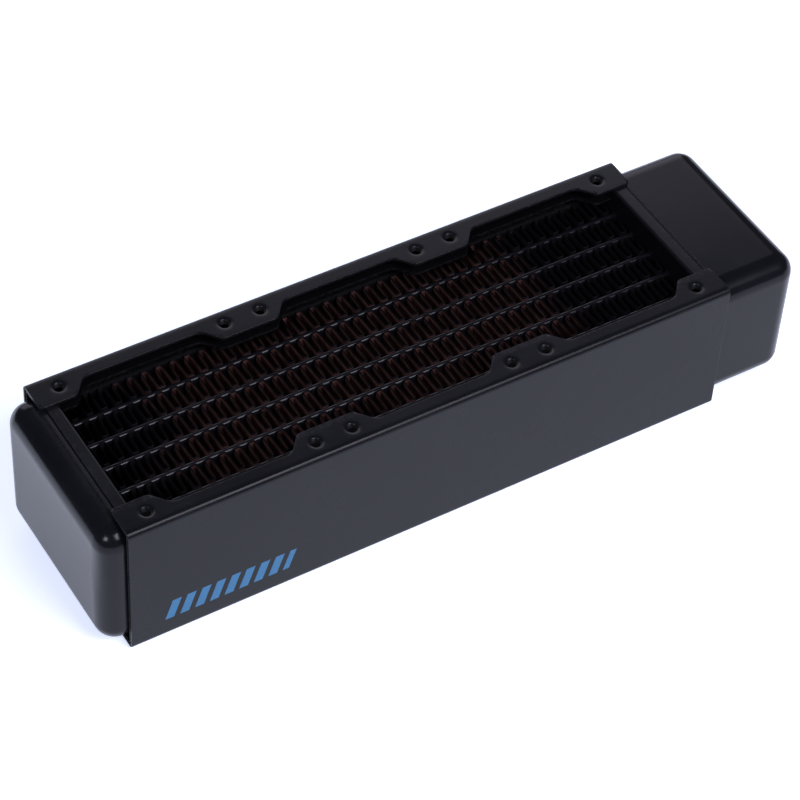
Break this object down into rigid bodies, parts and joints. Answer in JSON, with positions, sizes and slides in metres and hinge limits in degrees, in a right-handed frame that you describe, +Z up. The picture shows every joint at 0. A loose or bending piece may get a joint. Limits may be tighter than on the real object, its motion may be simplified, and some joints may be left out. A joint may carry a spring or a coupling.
{
  "type": "liquid cooling radiator",
  "caption": "Slim box-shaped liquid cooling radiator for a row of small square fans, with a finned core between two bent side channels, a short return tank and a long port tank.",
  "frame": {"origin": "centre of the middle fan's bolt square, on the outer face of the bottom flanges", "axes": "+X along the body towards the long port tank, +Y towards the far side channel, +Z up through the core"},
  "size_m": [0.2212, 0.061, 0.046],
  "materials": {
    "housing_coat": "satin black coat on bent steel sheet",
    "tank_coat": "satin black coat on drawn brass",
    "core_coat": "matt black overspray on brass",
    "fin_copper": "thin copper strip under a thin black overspray",
    "raw_brass": "machined brass"
  },
  "bodies": {
    "root": {"side_channel_near": "housing_coat", "screw_guard_top_near": "housing_coat", "screw_guard_bottom_near": "housing_coat", "core_side_plate_near": "core_coat", "side_channel_far": "housing_coat", "screw_guard_top_far": "housing_coat", "screw_guard_bottom_far": "housing_coat", "core_side_plate_far": "core_coat", "header_plate_return": "tank_coat", "header_plate_port": "tank_coat", "return_tank": "tank_coat", "port_tank": "tank_coat", "port_tank_divider": "raw_brass", "flat_tube_1": "core_coat", "flat_tube_2": "core_coat", "flat_tube_3": "core_coat", "flat_tube_4": "core_coat", "flat_tube_5": "core_coat", "fin_strip_1": "fin_copper", "fin_strip_2": "fin_copper", "fin_strip_3": "fin_copper", "fin_strip_4": "fin_copper", "fin_strip_5": "fin_copper", "fin_strip_6": "fin_copper", "port_bush_inlet": "raw_brass", "port_bush_outlet": "raw_brass"}
  },
  "joints": []
}
